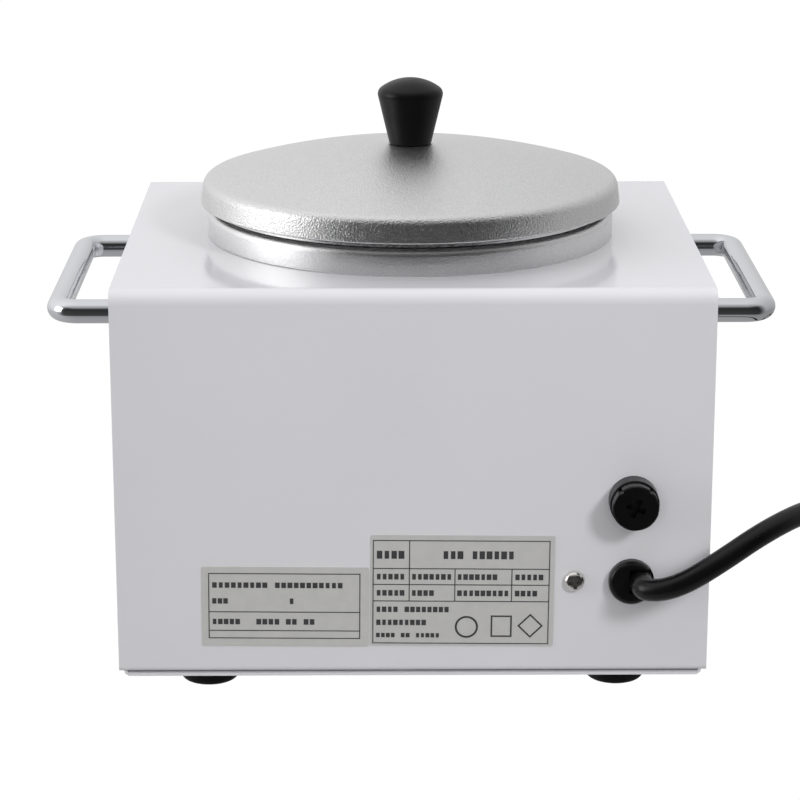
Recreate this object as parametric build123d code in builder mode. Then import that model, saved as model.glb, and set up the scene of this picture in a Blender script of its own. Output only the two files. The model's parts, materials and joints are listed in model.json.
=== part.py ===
from build123d import *
from math import cos, pi, radians, sin, sqrt, tan
import os

# Single-pot wax warmer. Millimetres, +Z up. The controls face -Y and the mains lead leaves the rear, +Y.
# The origin is on the table, under the centre of the whole body without its lead and plug.

os.makedirs("parts", exist_ok=True)

# ---- case ----
WIDTH = 200.0
DEPTH = 183.0
COVER_HEIGHT = 133.2
SHEET = 1.0
COVER_BEND = 4.5  # outer radius of the two top bends
HEM_BEND = 1.8
HEM = 22.0  # inward hems along the cover's lower edges
FOOT_GAP = 8.0  # table to the cover's lower edge
BASE_DROP = 1.6  # the base sheet's lower face, below the cover's lower edge
FIT = 0.3  # gap between folded sheets
RUN = 0.08  # radial play of what turns in a bore
KNOB_REACH = 17.0  # control knob, ahead of the front face
CAP_REACH = 10.2  # fuse cap, behind the rear face

CENTRE_Y = (KNOB_REACH - CAP_REACH) / 2
REAR_Y = CENTRE_Y + DEPTH / 2
FRONT_Y = CENTRE_Y - DEPTH / 2
TOP_Z = FOOT_GAP + COVER_HEIGHT
BASE_Z = FOOT_GAP - BASE_DROP
FLOOR_Z = BASE_Z + SHEET  # upper face of the base sheet
PANEL_X = WIDTH / 2 - 1.7  # outer face of a side panel, set in from the cover's edges
PANEL_BEND = 1.3
FLANGE = 10.0  # folded edges of the side panels

# ---- well, pot and lid, round one upright axis ----
COLLAR_R = 72.3
COLLAR_TOP = TOP_Z + 9.6
WELL_R = 66.8
WELL_WALL = 1.5
WELL_FLOOR = TOP_Z - 62.0
WELL_HOLE_R = 69.9  # in the cover
POT_R = 66.0
POT_WALL = 1.2
POT_BASE = WELL_FLOOR + 1.0
RIM_Z = COLLAR_TOP + 0.1  # underside of the pot's resting flange
RIM_R = 70.2
POT_TOP = TOP_Z + 20.5
BEAD_R = 1.2
LID_R = 74.8
LID_WALL = 1.2
LID_EDGE = TOP_Z + 11.6
LID_SHOULDER_R = LID_R - 1.2
LID_SHOULDER = TOP_Z + 20.0
LID_TOP = TOP_Z + 31.7
LID_FLAT_R = 9.0  # flat spot under the knob
DOME_SAG = 2.05  # the dome's rise above a straight line from the flat spot to the shoulder
LID_ROLL = 3.6
BAIL_R = 70.6
BAIL_WIRE = 3.0
BAIL_Z = RIM_Z + 5.2
EAR_OUT = 68.2
LIFT_KNOB_BASE = 7.4
LIFT_KNOB_CROWN = 11.9
LIFT_KNOB_HEIGHT = 23.5
CROWN_RISE = 4.6
HEATER_R = 68.4
HEATER_LOW, HEATER_HIGH = WELL_FLOOR + 7.0, WELL_FLOOR + 35.0
CLAMP_ANGLE = 225.0  # where the heater band closes

# ---- handles ----
ROD = 8.3
GRIP_X = 121.7  # centre line of the grip
HANDLE_Z = FOOT_GAP + 116.2
HANDLE_SPAN = 101.0  # leg to leg
HANDLE_BEND = 7.0

# ---- rear fittings; seen from behind they are on the right, at negative X ----
FUSE_X, FUSE_Z = -73.7, FOOT_GAP + 61.3
BUSH_X, BUSH_Z = -73.6, FOOT_GAP + 32.6
EARTH_X, EARTH_Z = -54.4, FOOT_GAP + 32.5
BUSH_HEAD_R = 7.7
BUSH_HEAD = 4.0
BUSH_NECK_R = 6.2
BUSH_NECK = 12.0
FUSE_FLANGE_R = 8.3
FUSE_FLANGE = 6.0
FUSE_CAP_R = 7.8
RATING_LABEL = (-16.6, 37.0, 62.2, 39.6)  # centre x, centre z, width, height
CHECK_LABEL = (43.2, 31.5, 56.6, 28.4)
LABEL_TILT = 0.5
LABEL_THICK = 0.2

# ---- front controls ----
CONTROL_Z = FOOT_GAP + 44.0
SWITCH_X, LAMP_X = -66.0, 66.0
DIAL_R = 31.0
DIAL_THICK = 0.5
SHAFT_R = 3.0
BODY_DEPTH = 24.0  # thermostat, behind the front panel
ROCKER_TILT = 7.0  # either side of level; it rests switched off
PIVOT_IN = 2.3  # rocker pivot, behind the front face

# ---- feet and screws ----
FOOT_X = 70.0
FOOT_INSET = 16.5
FOOT_R = 10.8
SCREW_R = 2.0  # M4
SCREW_HOLE_R = 2.2

# ---- mains lead ----
LEAD = 7.6
EXIT_X = BUSH_X - 3.3
EXIT_Z = BUSH_Z + 0.7
EXIT_SEAT = 0.8  # bottom of the bushing's slot, behind the rear face
COIL_X, COIL_Y = -222.8, -72.0
COIL_MID_R = 42.0  # two turns spiral in on the table, and two spiral out on top of them
COIL_ENTRY_R = COIL_MID_R + LEAD
COIL_TURNS = 4
COIL_LEAVE = 63.4  # degrees past the last whole turn

POT_PLANE = Plane(origin=(0, CENTRE_Y, 0), x_dir=(1, 0, 0), z_dir=(0, -1, 0))  # radius, height
POT_AXIS = Axis((0, CENTRE_Y, 0), (0, 0, 1))


def save(piece, name):
    """Labels one finished sub-part and writes it."""
    piece.part.label = name
    export_step(piece.part, f"parts/{name}.step")


def rear(x, z, out=0.0):
    """A plane on the rear face, looking out of it."""
    return Plane(origin=(x, REAR_Y + out, z), x_dir=(-1, 0, 0), z_dir=(0, 1, 0))


def front(x, z, out=0.0):
    """A plane on the front face, looking out of it."""
    return Plane(origin=(x, FRONT_Y - out, z), x_dir=(1, 0, 0), z_dir=(0, -1, 0))


def bend_radii(points):
    """The radius at each corner of a route: 0.45 of the shorter run over the tangent of half the turn."""
    radii = []
    for before, corner, after in zip(points, points[1:], points[2:]):
        run_in = Vector(*corner) - Vector(*before)
        run_out = Vector(*after) - Vector(*corner)
        half_turn = radians(run_in.get_angle(run_out)) / 2
        radii.append(0.45 * min(run_in.length, run_out.length) / tan(half_turn))
    return radii


# the dome is an arc over the chord from the flat spot's edge to the shoulder
dome_chord = Vector(LID_SHOULDER_R - LID_FLAT_R, LID_SHOULDER - LID_TOP)
DOME_R = dome_chord.length**2 / (8 * DOME_SAG) + DOME_SAG / 2
dome_up = Vector(-dome_chord.Y, dome_chord.X).normalized()
dome_centre = Vector(LID_FLAT_R, LID_TOP) + dome_chord * 0.5 - dome_up * (DOME_R - DOME_SAG)


def roof(radius_at, depth=0.0):
    """Height of the lid's domed face at a radius, or of the face that lies that deep inside it."""
    return dome_centre.Y + sqrt((DOME_R - depth) ** 2 - (radius_at - dome_centre.X) ** 2)


def corner(sketch, x, y):
    """The sketch's vertex nearest to a point of its own plane."""
    return sketch.vertices().sort_by_distance((x, y, 0))[0]


# ======== case ========

handle_ends = [(CENTRE_Y - HANDLE_SPAN / 2, HANDLE_Z), (CENTRE_Y + HANDLE_SPAN / 2, HANDLE_Z)]
foot_spots = [
    (side * FOOT_X, y) for side in (-1, 1) for y in (FRONT_Y + FOOT_INSET, REAR_Y - FOOT_INSET)
]

panel_holes = [
    (rear(FUSE_X, FUSE_Z), 6.4),
    (rear(BUSH_X, BUSH_Z), BUSH_NECK_R + 0.1),
    (rear(EARTH_X, EARTH_Z), SCREW_HOLE_R),
    (front(0, CONTROL_Z), 4.6),
    (front(LAMP_X, CONTROL_Z), 5.0),
]

with BuildPart() as cover:
    with BuildSketch(Plane(origin=(-WIDTH / 2, 0, 0), x_dir=(0, 1, 0), z_dir=(1, 0, 0))) as wrap:
        with Locations((CENTRE_Y, FOOT_GAP + COVER_HEIGHT / 2)):
            Rectangle(DEPTH, COVER_HEIGHT)
        fillet(wrap.vertices().group_by(Axis.Y)[-1], COVER_BEND)
        fillet(wrap.vertices().group_by(Axis.Y)[0], HEM_BEND)
        offset(amount=-SHEET, mode=Mode.SUBTRACT)
        with Locations((CENTRE_Y, FOOT_GAP)):
            Rectangle(DEPTH - 2 * HEM, 4 * SHEET, mode=Mode.SUBTRACT)
    extrude(amount=WIDTH)
    with BuildSketch(Plane(origin=(0, CENTRE_Y, TOP_Z))):
        Circle(WELL_HOLE_R)
    extrude(amount=-2 * SHEET, mode=Mode.SUBTRACT)
    # the hems stop short of the side panels
    with BuildSketch(Plane.XY.offset(FOOT_GAP)):
        with Locations((-WIDTH / 2, CENTRE_Y), (WIDTH / 2, CENTRE_Y)):
            Rectangle(2 * (WIDTH / 2 - PANEL_X + SHEET + FIT), DEPTH - 2 * SHEET)
    extrude(amount=HEM_BEND, mode=Mode.SUBTRACT)
    for plane, radius in panel_holes:
        with BuildSketch(plane):
            Circle(radius)
        extrude(amount=-2 * SHEET, mode=Mode.SUBTRACT)
    with BuildSketch(front(SWITCH_X, CONTROL_Z)):
        Rectangle(13.0, 19.0)
    extrude(amount=-2 * SHEET, mode=Mode.SUBTRACT)
    with BuildSketch(Plane.XY.offset(FOOT_GAP)):
        with Locations(*foot_spots):
            Circle(SCREW_HOLE_R)
    extrude(amount=2 * SHEET, mode=Mode.SUBTRACT)
save(cover, "cover")

inner_depth = DEPTH - 2 * (SHEET + FIT)
panel_top = TOP_Z - SHEET - FIT
with BuildPart() as chassis:
    with BuildSketch(Plane(origin=(0, CENTRE_Y + inner_depth / 2, 0), x_dir=(1, 0, 0), z_dir=(0, -1, 0))) as pan:
        with Locations((0, (BASE_Z + panel_top) / 2)):
            Rectangle(2 * PANEL_X, panel_top - BASE_Z)
        fillet(pan.vertices(), PANEL_BEND)
        offset(amount=-SHEET, mode=Mode.SUBTRACT)
        with Locations((0, panel_top)):
            Rectangle(2 * (PANEL_X - FLANGE), 4 * SHEET, mode=Mode.SUBTRACT)
    extrude(amount=inner_depth)
    for side in (-1, 1):
        for end in (-1, 1):
            edge_y = CENTRE_Y + end * (inner_depth - SHEET) / 2
            with BuildSketch(Plane(origin=(side * (PANEL_X - FLANGE / 2), edge_y, FOOT_GAP + HEM_BEND + FIT))):
                Rectangle(FLANGE - SHEET, SHEET)
            extrude(amount=panel_top - FOOT_GAP - HEM_BEND - FIT - SHEET / 2)
    # the panels' top corners follow the cover's bends, and the base sheet runs out under the cover
    with BuildSketch(Plane.YZ.offset(-PANEL_X)) as outline:
        with Locations((CENTRE_Y, (BASE_Z + panel_top) / 2)):
            Rectangle(inner_depth, panel_top - BASE_Z)
        fillet(outline.vertices().group_by(Axis.Y)[-1], COVER_BEND - SHEET)
    extrude(amount=2 * PANEL_X, mode=Mode.INTERSECT)
    with BuildSketch(Plane(origin=(0, CENTRE_Y, BASE_Z))):
        Rectangle(2 * PANEL_X - 2 * PANEL_BEND, DEPTH - 2 * FIT)
    extrude(amount=SHEET)
    with BuildSketch(Plane.YZ.offset(-WIDTH / 2)):
        with Locations(*handle_ends):
            Circle(SCREW_HOLE_R)
    extrude(amount=WIDTH, mode=Mode.SUBTRACT)
    with BuildSketch(Plane.XY.offset(BASE_Z)):
        with Locations(*foot_spots):
            Circle(SCREW_HOLE_R)
        with Locations((0, CENTRE_Y)):
            with GridLocations(36, 9, 2, 7):
                SlotOverall(22, 3)
    extrude(amount=SHEET, mode=Mode.SUBTRACT)
save(chassis, "chassis")

for side, name in ((-1, "right_handle"), (1, "left_handle")):
    with BuildPart() as handle:
        with BuildLine() as bar:
            FilletPolyline(
                (side * PANEL_X, handle_ends[0][0], HANDLE_Z),
                (side * GRIP_X, handle_ends[0][0], HANDLE_Z),
                (side * GRIP_X, handle_ends[1][0], HANDLE_Z),
                (side * PANEL_X, handle_ends[1][0], HANDLE_Z),
                radius=HANDLE_BEND,
            )
        with BuildSketch(Plane(origin=bar.line @ 0, z_dir=bar.line % 0)):
            Circle(ROD / 2)
        sweep(path=bar.line)
        with BuildSketch(Plane.YZ.offset(side * PANEL_X)):
            with Locations(*handle_ends):
                Circle(SCREW_R + 0.05)
        extrude(amount=side * 11.0, mode=Mode.SUBTRACT)
    save(handle, name)

inner_wall = PANEL_X - SHEET
with BuildPart() as handle_screws:
    for side in (-1, 1):
        with BuildSketch(Plane.YZ.offset(side * inner_wall)):
            with Locations(*handle_ends):
                Circle(3.6)
        extrude(amount=-side * 2.6)
        with BuildSketch(Plane.YZ.offset(side * inner_wall)):
            with Locations(*handle_ends):
                Circle(SCREW_R)
        extrude(amount=side * 10.0)
save(handle_screws, "handle_screws")

for index, (x, y) in enumerate(foot_spots):
    name = f"{'front' if y < 0 else 'rear'}_{'right' if x < 0 else 'left'}_foot"
    with BuildPart() as foot:
        with BuildSketch(Plane(origin=(x, y, 0), x_dir=(1, 0, 0), z_dir=(0, -1, 0))) as section:
            with BuildLine():
                Polyline(
                    (SCREW_HOLE_R, 3.2), (4.6, 3.2), (4.6, 0), (FOOT_R - 1.0, 0), (FOOT_R, BASE_Z),
                    (SCREW_HOLE_R, BASE_Z), close=True,
                )
            make_face()
            fillet(corner(section, FOOT_R - 1.0, 0), 2.2)
        revolve(axis=Axis((x, y, 0), (0, 0, 1)))
    save(foot, name)


# each foot's screw clamps the foot, the base sheet and the cover's hem
nut_z = FOOT_GAP + SHEET
with BuildPart() as base_screws:
    for radius, high in ((3.6, 3.2), (SCREW_R, nut_z + 5.0)):
        with BuildSketch(Plane.XY.offset(1.0)):
            with Locations(*foot_spots):
                Circle(radius)
        extrude(amount=high - 1.0)
save(base_screws, "base_screws")

with BuildPart() as base_nuts:
    with BuildSketch(Plane.XY.offset(nut_z)):
        with Locations(*foot_spots):
            RegularPolygon(4.0, 6)
            Circle(SCREW_R + 0.05, mode=Mode.SUBTRACT)
    extrude(amount=3.2)
save(base_nuts, "base_nuts")

# ======== heating well ========

with BuildPart() as heating_well:
    with BuildSketch(POT_PLANE) as shell:
        outer_r = WELL_R + WELL_WALL
        with BuildLine():
            Polyline(
                (0, WELL_FLOOR), (WELL_R, WELL_FLOOR), (WELL_R, COLLAR_TOP), (COLLAR_R, COLLAR_TOP),
                (COLLAR_R, TOP_Z), (COLLAR_R - WELL_WALL, TOP_Z), (COLLAR_R - WELL_WALL, COLLAR_TOP - WELL_WALL),
                (outer_r, COLLAR_TOP - WELL_WALL), (outer_r, WELL_FLOOR - WELL_WALL), (0, WELL_FLOOR - WELL_WALL),
                close=True,
            )
        make_face()
        for spot, radius in (
            ((WELL_R, WELL_FLOOR), 6.0),
            ((outer_r, WELL_FLOOR - WELL_WALL), 6.0 + WELL_WALL),
            ((WELL_R, COLLAR_TOP), 1.2),
            ((COLLAR_R, COLLAR_TOP), 3.0),
            ((COLLAR_R - WELL_WALL, COLLAR_TOP - WELL_WALL), 3.0 - WELL_WALL),
            ((COLLAR_R, TOP_Z), 0.4),
        ):
            fillet(corner(shell, *spot), radius)
    revolve(axis=POT_AXIS)
save(heating_well, "heating_well")


def pot_radial(angle):
    """An upright plane through the pot's axis: its x runs outwards at the angle, its y runs up."""
    across = Vector(cos(radians(angle)), sin(radians(angle)), 0)
    return Plane(origin=(0, CENTRE_Y, 0), x_dir=across, z_dir=across.cross(Vector(0, 0, 1)))


def ring(name, inner, outer, low, high, gap=0.0):
    """A plain ring round the pot's axis, with a gap of so many degrees where the heater band closes."""
    with BuildPart() as band:
        with BuildSketch(pot_radial(CLAMP_ANGLE + gap / 2)):
            with Locations(((inner + outer) / 2, (low + high) / 2)):
                Rectangle(outer - inner, high - low)
        revolve(axis=POT_AXIS, revolution_arc=360 - gap)
    save(band, name)


ring("well_clamp", WELL_R + WELL_WALL + 0.05, 76.0, TOP_Z - SHEET - 2.0, TOP_Z - SHEET)
ring("heater_band", HEATER_R, HEATER_R + 1.8, HEATER_LOW, HEATER_HIGH, gap=8.0)

clamp_plane = Plane(
    origin=(0, CENTRE_Y, 0),
    x_dir=(cos(radians(CLAMP_ANGLE)), sin(radians(CLAMP_ANGLE)), 0),
    z_dir=(0, 0, 1),
)
strap_r = HEATER_R + 1.9
strap_gap = 6.0
lug_z = HEATER_LOW + 14.0
with BuildPart() as heater_clamp:
    with BuildSketch(pot_radial(CLAMP_ANGLE + strap_gap / 2)):
        with Locations((strap_r + 0.35, lug_z)):
            Rectangle(0.7, 12)
    revolve(axis=POT_AXIS, revolution_arc=360 - strap_gap)
    with BuildSketch(clamp_plane.offset(lug_z - 6)):
        for side in (-1, 1):
            with Locations((strap_r + 5.0, side * 4.2)):
                Rectangle(9.4, 1.0)
    extrude(amount=12)
    with BuildSketch(Plane(origin=clamp_plane.from_local_coords((strap_r + 6, -6, lug_z)), z_dir=clamp_plane.y_dir)):
        Circle(1.6)
    extrude(amount=12, mode=Mode.SUBTRACT)
save(heater_clamp, "heater_clamp")

with BuildPart() as heater_screw:
    with BuildSketch(Plane(origin=clamp_plane.from_local_coords((strap_r + 6, 4.7, lug_z)), z_dir=clamp_plane.y_dir)):
        Circle(2.8)
    extrude(amount=2.0)
    with BuildSketch(Plane(origin=clamp_plane.from_local_coords((strap_r + 6, 4.7, lug_z)), z_dir=clamp_plane.y_dir)):
        Circle(1.5)
    extrude(amount=-13.0)
save(heater_screw, "heater_screw")

terminal_angle = CLAMP_ANGLE + 15
terminal_plane = Plane(
    origin=(0, CENTRE_Y, 0),
    x_dir=(cos(radians(terminal_angle)), sin(radians(terminal_angle)), 0),
    z_dir=(0, 0, 1),
)
terminal_r = 74.4
with BuildPart() as heater_terminal:
    with BuildSketch(terminal_plane.offset(HEATER_LOW)) as block:
        with Locations((terminal_r, 0)):
            Rectangle(5.0, 11.0)
        fillet(block.vertices(), 0.8)
    extrude(amount=7.0)
save(heater_terminal, "heater_terminal")

ring("insulation_sleeve", strap_r + 1.1, strap_r + 7.1, HEATER_LOW - 4.0, TOP_Z - 7.0, gap=60.0)

with BuildPart() as insulation_pad:
    with BuildSketch(Plane(origin=(0, CENTRE_Y, WELL_FLOOR - WELL_WALL - 4.2))):
        Circle(60.0)
    extrude(amount=4.1)
save(insulation_pad, "insulation_pad")

# ======== pot, bail and lid ========

with BuildPart() as wax_pot:
    with BuildSketch(POT_PLANE) as shell:
        with BuildLine():
            Polyline(
                (0, POT_BASE), (POT_R, POT_BASE), (POT_R, POT_TOP - BEAD_R), (POT_R - POT_WALL, POT_TOP - BEAD_R),
                (POT_R - POT_WALL, POT_BASE + POT_WALL), (0, POT_BASE + POT_WALL), close=True,
            )
        make_face()
        fillet(corner(shell, POT_R, POT_BASE), 8.0)
        fillet(corner(shell, POT_R - POT_WALL, POT_BASE + POT_WALL), 8.0 - POT_WALL)
        with Locations((POT_R - POT_WALL + BEAD_R, POT_TOP - BEAD_R)):
            Circle(BEAD_R)
        with Locations(((POT_R + RIM_R) / 2 - 0.3, RIM_Z + 0.65)):
            Rectangle(RIM_R - POT_R + 0.6, 1.3)
        fillet(corner(shell, RIM_R, RIM_Z + 1.3), 0.6)
    revolve(axis=POT_AXIS)
save(wax_pot, "wax_pot")

with BuildPart() as pot_ears:
    for side in (-1, 1):
        with BuildSketch(Plane.YZ.offset(side * (POT_R - 1.5))) as plate:
            with Locations((CENTRE_Y, BAIL_Z)):
                Rectangle(8.0, 6.2)
            fillet(plate.vertices(), 1.6)
        extrude(amount=side * (EAR_OUT - POT_R + 1.5))
    with BuildSketch(Plane(origin=(0, CENTRE_Y, BAIL_Z - 5))):
        Circle(POT_R)
    extrude(amount=10, mode=Mode.SUBTRACT)
    with BuildSketch(Plane.YZ.offset(-WIDTH / 2)):
        with Locations((CENTRE_Y, BAIL_Z)):
            Circle(BAIL_WIRE / 2 + RUN)
    extrude(amount=WIDTH, mode=Mode.SUBTRACT)
save(pot_ears, "pot_ears")

with BuildPart() as bail:
    with BuildLine(Plane(origin=(0, CENTRE_Y, BAIL_Z))) as hoop:
        CenterArc((0, 0), BAIL_R, 180, 180)
    with BuildSketch(Plane(origin=hoop.line @ 0, z_dir=hoop.line % 0)):
        Circle(BAIL_WIRE / 2)
    sweep(path=hoop.line)
    with Locations((-BAIL_R, CENTRE_Y, BAIL_Z), (BAIL_R, CENTRE_Y, BAIL_Z)):
        Sphere(BAIL_WIRE / 2)
    for side in (-1, 1):
        with BuildSketch(Plane.YZ.offset(side * BAIL_R)):
            with Locations((CENTRE_Y, BAIL_Z)):
                Circle(BAIL_WIRE / 2)
        extrude(amount=-side * (BAIL_R - POT_R - 0.4))
save(bail, "bail")

with BuildPart() as lid:
    with BuildSketch(POT_PLANE) as shell:
        mid_r = (LID_FLAT_R + LID_SHOULDER_R) / 2
        inner_r = LID_SHOULDER_R - LID_WALL
        with BuildLine():
            Line((0, LID_TOP), (LID_FLAT_R, LID_TOP))
            ThreePointArc((LID_FLAT_R, LID_TOP), (mid_r, roof(mid_r)), (LID_SHOULDER_R, LID_SHOULDER))
            Polyline(
                (LID_SHOULDER_R, LID_SHOULDER), (LID_R, LID_EDGE), (LID_R - LID_WALL, LID_EDGE),
                (inner_r, roof(inner_r, LID_WALL)),
            )
            ThreePointArc(
                (inner_r, roof(inner_r, LID_WALL)), (mid_r, roof(mid_r, LID_WALL)),
                (LID_FLAT_R, roof(LID_FLAT_R, LID_WALL)),
            )
            Polyline(
                (LID_FLAT_R, roof(LID_FLAT_R, LID_WALL)), (SCREW_HOLE_R + 2, LID_TOP - LID_WALL),
                (0, LID_TOP - LID_WALL),
            )
            Line((0, LID_TOP - LID_WALL), (0, LID_TOP))
        make_face()
        fillet(corner(shell, LID_SHOULDER_R, LID_SHOULDER), LID_ROLL)
        fillet(corner(shell, inner_r, roof(inner_r, LID_WALL)), LID_ROLL - LID_WALL)
        fillet(corner(shell, LID_R, LID_EDGE), 0.5)
        fillet(corner(shell, LID_R - LID_WALL, LID_EDGE), 0.5)
    revolve(axis=POT_AXIS)
    with BuildSketch(Plane(origin=(0, CENTRE_Y, LID_TOP))):
        Circle(SCREW_HOLE_R)
    extrude(amount=-3, mode=Mode.SUBTRACT)
save(lid, "lid")

ring("lid_ring", 62.9, 63.9, TOP_Z + 15.0, roof(63.9, LID_WALL) - 0.15)

crown = LID_TOP + LIFT_KNOB_HEIGHT
crown_edge = crown - CROWN_RISE
crown_ball = (LIFT_KNOB_CROWN**2 + CROWN_RISE**2) / (2 * CROWN_RISE)
with BuildPart() as lid_knob:
    with BuildSketch(POT_PLANE) as section:
        half_way = LIFT_KNOB_CROWN / 2
        with BuildLine():
            Polyline(
                (0, LID_TOP + 12), (SCREW_R + 0.05, LID_TOP + 12), (SCREW_R + 0.05, LID_TOP),
                (LIFT_KNOB_BASE, LID_TOP), (LIFT_KNOB_CROWN, crown_edge),
            )
            ThreePointArc(
                (LIFT_KNOB_CROWN, crown_edge),
                (half_way, crown - crown_ball + sqrt(crown_ball**2 - half_way**2)),
                (0, crown),
            )
            Line((0, crown), (0, LID_TOP + 12))
        make_face()
        fillet(corner(section, LIFT_KNOB_BASE, LID_TOP), 0.8)
        fillet(corner(section, LIFT_KNOB_CROWN, crown_edge), 2.8)
    revolve(axis=POT_AXIS)
save(lid_knob, "lid_knob")

washer_z = LID_TOP - LID_WALL - 0.8
ring("lid_washer", SCREW_HOLE_R, 6.0, washer_z, LID_TOP - LID_WALL)

with BuildPart() as lid_screw:
    with BuildSketch(Plane(origin=(0, CENTRE_Y, washer_z))):
        Circle(3.8)
    extrude(amount=-2.4)
    fillet(lid_screw.edges().filter_by(GeomType.CIRCLE).sort_by(Axis.Z)[0], 1.0)
    with BuildSketch(Plane(origin=(0, CENTRE_Y, washer_z))):
        Circle(SCREW_R)
    extrude(amount=12.0)
save(lid_screw, "lid_screw")

# ======== rear fittings ========

with BuildPart() as fuse_body:
    with BuildSketch(rear(FUSE_X, FUSE_Z)):
        Circle(FUSE_FLANGE_R)
    extrude(amount=FUSE_FLANGE)
    fillet(fuse_body.edges().filter_by(GeomType.CIRCLE).sort_by(Axis.Y)[-1], 0.5)
    with BuildSketch(rear(FUSE_X, FUSE_Z)):
        Circle(6.2)
    extrude(amount=-30.0)
    with BuildSketch(rear(FUSE_X, FUSE_Z, FUSE_FLANGE)):
        Circle(4.8)
    extrude(amount=-FUSE_FLANGE - 26.0, mode=Mode.SUBTRACT)
    with BuildSketch(rear(FUSE_X, FUSE_Z, -30.0)):
        Rectangle(6.3, 0.8)
    extrude(amount=-6.0)
save(fuse_body, "fuse_body")

with BuildPart() as fuse_nut:
    with BuildSketch(rear(FUSE_X, FUSE_Z, -SHEET)):
        RegularPolygon(9.0, 6)
        Circle(6.25, mode=Mode.SUBTRACT)
    extrude(amount=-3.0)
save(fuse_nut, "fuse_nut")

spigot_r = 1.8
with BuildPart() as fuse_cap:
    with BuildSketch(rear(FUSE_X, FUSE_Z, FUSE_FLANGE + 0.1)):
        Circle(FUSE_CAP_R)
        with PolarLocations(FUSE_CAP_R + 0.4, 2, start_angle=48, angular_range=84, endpoint=True):
            Circle(0.9, mode=Mode.SUBTRACT)
    extrude(amount=CAP_REACH - FUSE_FLANGE - 0.1)
    chamfer(fuse_cap.faces().sort_by(Axis.Y)[-1].outer_wire().edges(), 0.4)
    with BuildSketch(rear(FUSE_X, FUSE_Z, CAP_REACH)):
        Rectangle(6.6, 1.9, rotation=-22)
        Rectangle(1.9, 6.6, rotation=-22)
    extrude(amount=-1.8, mode=Mode.SUBTRACT)
    with BuildSketch(rear(FUSE_X, FUSE_Z, FUSE_FLANGE)):
        Circle(spigot_r + RUN)
    extrude(amount=1.9, mode=Mode.SUBTRACT)
save(fuse_cap, "fuse_cap")

with BuildPart() as fuse_carrier:
    with BuildSketch(rear(FUSE_X, FUSE_Z, FUSE_FLANGE - 0.1)):
        Circle(4.5)
    extrude(amount=-FUSE_FLANGE - 11.6)
    with BuildSketch(rear(FUSE_X, FUSE_Z, -1.0)):
        Circle(2.8)
    extrude(amount=-14.0, mode=Mode.SUBTRACT)
    with BuildSketch(rear(FUSE_X, FUSE_Z, FUSE_FLANGE - 0.1)):
        Circle(spigot_r)
    extrude(amount=1.8)
save(fuse_carrier, "fuse_carrier")

with BuildPart() as fuse_glass:
    with BuildSketch(rear(FUSE_X, FUSE_Z, -1.6)):
        Circle(2.35)
    extrude(amount=-19.0)
save(fuse_glass, "fuse_glass")

with BuildPart() as fuse_end_caps:
    for low, high in ((-6.6, -1.1), (-21.1, -15.6)):
        with BuildSketch(rear(FUSE_X, FUSE_Z, low)):
            Circle(2.6)
        extrude(amount=high - low)
    with BuildSketch(rear(FUSE_X, FUSE_Z, -1.6)):
        Circle(2.35)
    extrude(amount=-19.0, mode=Mode.SUBTRACT)
save(fuse_end_caps, "fuse_end_caps")

with BuildPart() as cord_bushing:
    with BuildSketch(rear(BUSH_X, BUSH_Z)):
        Circle(BUSH_HEAD_R)
    extrude(amount=BUSH_HEAD)
    fillet(cord_bushing.edges().filter_by(GeomType.CIRCLE).sort_by(Axis.Y)[-1], 1.9)
    with BuildSketch(rear(BUSH_X, BUSH_Z)):
        Circle(BUSH_NECK_R)
    extrude(amount=-BUSH_NECK)
    with BuildSketch(rear(BUSH_X, BUSH_Z, -SHEET)):
        Circle(BUSH_NECK_R + 0.8)
    extrude(amount=-3.0, taper=12)
    slot_reach = 2 * BUSH_HEAD_R
    slot_half = LEAD / 2 + 0.35
    with BuildSketch(rear(EXIT_X + slot_half - slot_reach / 2, EXIT_Z, EXIT_SEAT)):
        Rectangle(slot_reach, 2 * slot_half)
    extrude(amount=BUSH_HEAD, mode=Mode.SUBTRACT)
save(cord_bushing, "cord_bushing")

with BuildPart() as earth_screw:
    with BuildSketch(rear(EARTH_X, EARTH_Z)):
        Circle(3.65)
    extrude(amount=2.4)
    fillet(earth_screw.edges().filter_by(GeomType.CIRCLE).sort_by(Axis.Y)[-1], 2.2)
    with BuildSketch(rear(EARTH_X, EARTH_Z, 2.4)):
        Rectangle(4.6, 1.25, rotation=8)
        Rectangle(1.25, 4.6, rotation=8)
    extrude(amount=-1.7, mode=Mode.SUBTRACT)
    with BuildSketch(rear(EARTH_X, EARTH_Z)):
        Circle(SCREW_R)
    extrude(amount=-9.0)
save(earth_screw, "earth_screw")

barrel_y = REAR_Y - SHEET - 1.8
barrel_low = EARTH_Z - 13.0
with BuildPart() as earth_terminal:
    with BuildSketch(rear(EARTH_X, EARTH_Z, -SHEET)):
        Circle(5.0)
    extrude(amount=-1.0)
    with BuildSketch(Plane(origin=(EARTH_X, barrel_y, barrel_low))):
        Circle(1.8)
    extrude(amount=9.2)
    with BuildSketch(rear(EARTH_X, EARTH_Z)):
        Circle(SCREW_R + 0.05)
    extrude(amount=-9.0, mode=Mode.SUBTRACT)
save(earth_terminal, "earth_terminal")

with BuildPart() as earth_nut:
    with BuildSketch(rear(EARTH_X, EARTH_Z, -SHEET - 3.7)):
        RegularPolygon(4.0, 6)
        Circle(SCREW_R + 0.05, mode=Mode.SUBTRACT)
    extrude(amount=-3.0)
save(earth_nut, "earth_nut")

for name, (x, z, width, height) in (("rating_label", RATING_LABEL), ("check_label", CHECK_LABEL)):
    with BuildPart() as label:
        with BuildSketch(rear(x, z)) as sheet:
            Rectangle(width, height, rotation=-LABEL_TILT)
            fillet(sheet.vertices(), 0.8)
        extrude(amount=LABEL_THICK)
    save(label, name)

# ======== front controls ========

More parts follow.
